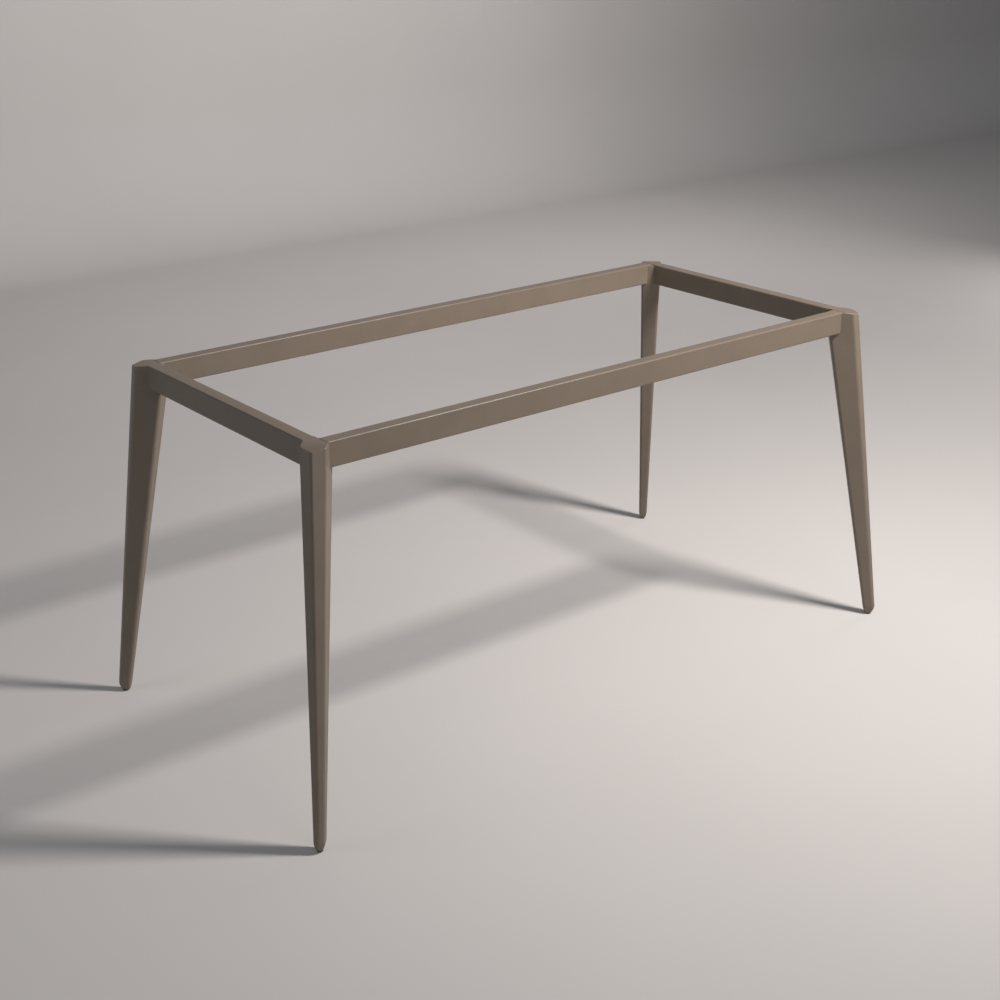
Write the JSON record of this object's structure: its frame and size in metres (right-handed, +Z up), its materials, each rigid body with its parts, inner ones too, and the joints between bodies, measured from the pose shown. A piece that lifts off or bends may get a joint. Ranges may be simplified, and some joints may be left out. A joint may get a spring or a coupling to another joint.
{
  "type": "desk frame",
  "caption": "Desk frame of rectangular tube rails on splayed, tapered legs with a ridged outer face, a level cap and small floor glides.",
  "frame": {"origin": "on the floor, under the middle of the frame", "axes": "+Z up, +X along the long rails, +Y along the end rails towards the rear"},
  "size_m": [1.5298, 0.7768, 0.72],
  "materials": {
    "powder_coat": "satin powder coat, warm grey-brown, very fine texture",
    "nylon": "matt moulded nylon, near black",
    "zinc_steel": "zinc plated, satin"
  },
  "bodies": {
    "root": {"end_rail_left": "powder_coat", "end_rail_right": "powder_coat", "long_rail_front": "powder_coat", "long_rail_rear": "powder_coat", "leg_tube_front_left": "powder_coat", "leg_tube_front_right": "powder_coat", "leg_tube_rear_left": "powder_coat", "leg_tube_rear_right": "powder_coat", "leg_cap_front_left": "powder_coat", "leg_cap_front_right": "powder_coat", "leg_cap_rear_left": "powder_coat", "leg_cap_rear_right": "powder_coat", "leg_toe_front_left": "powder_coat", "leg_toe_front_right": "powder_coat", "leg_toe_rear_left": "powder_coat", "leg_toe_rear_right": "powder_coat", "glide_front_left": "nylon", "glide_front_right": "nylon", "glide_rear_left": "nylon", "glide_rear_right": "nylon", "rail_connector_front_left": "zinc_steel", "rail_connector_front_right": "zinc_steel", "rail_connector_rear_left": "zinc_steel", "rail_connector_rear_right": "zinc_steel", "rail_screws_front_left": "zinc_steel", "rail_screws_front_right": "zinc_steel", "rail_screws_rear_left": "zinc_steel", "rail_screws_rear_right": "zinc_steel"}
  },
  "joints": []
}
